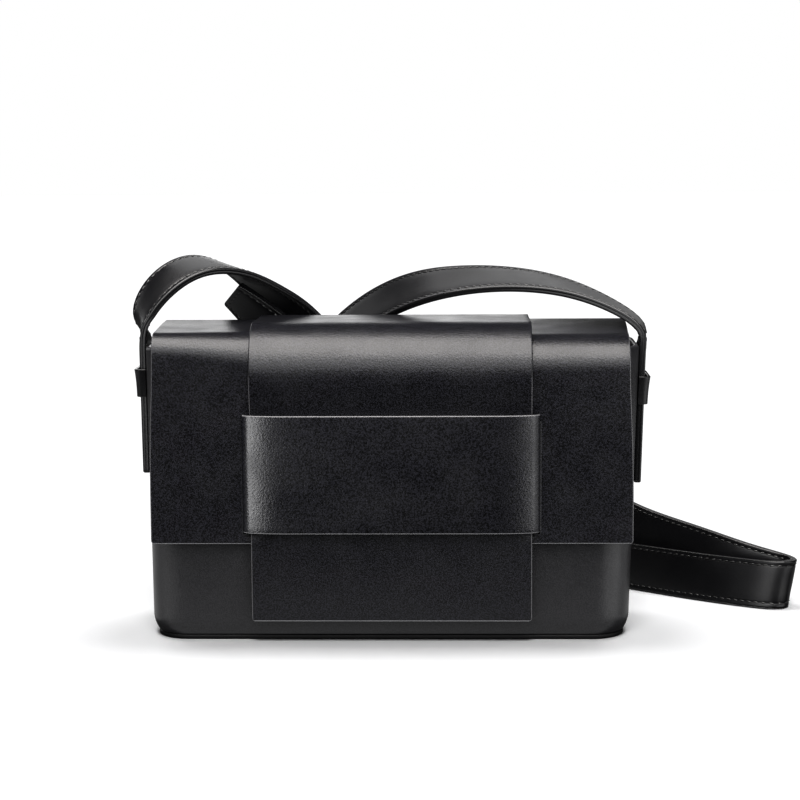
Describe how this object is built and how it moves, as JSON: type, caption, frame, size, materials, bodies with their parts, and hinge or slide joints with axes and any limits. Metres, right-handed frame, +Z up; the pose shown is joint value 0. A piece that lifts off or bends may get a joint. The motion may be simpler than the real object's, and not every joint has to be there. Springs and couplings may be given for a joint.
{
  "type": "crossbody bag",
  "caption": "Boxy leather crossbody bag with a wide flap, a tongue laced under a cross band, and a flat stitched strap that arcs over the top and loops onto the floor behind.",
  "frame": {"origin": "on the base panel's underside, below the middle of the flap, on the surface that the bag stands on", "axes": "+X to the right in front view, +Y from the front to the back, +Z up"},
  "size_m": [0.3186, 0.215, 0.1748],
  "materials": {
    "moulded_leather": "smooth semi-matte black",
    "flap_leather": "fine-grained semi-matte black",
    "strap_leather": "smooth satin black with painted edges"
  },
  "bodies": {
    "root": {"body_shell": "moulded_leather", "base_panel": "moulded_leather", "flap": "flap_leather", "tongue": "flap_leather", "band": "flap_leather", "side_loop_left": "strap_leather", "side_loop_right": "strap_leather", "strap_short": "strap_leather", "strap_long": "strap_leather", "strap_keeper": "strap_leather"}
  },
  "joints": []
}
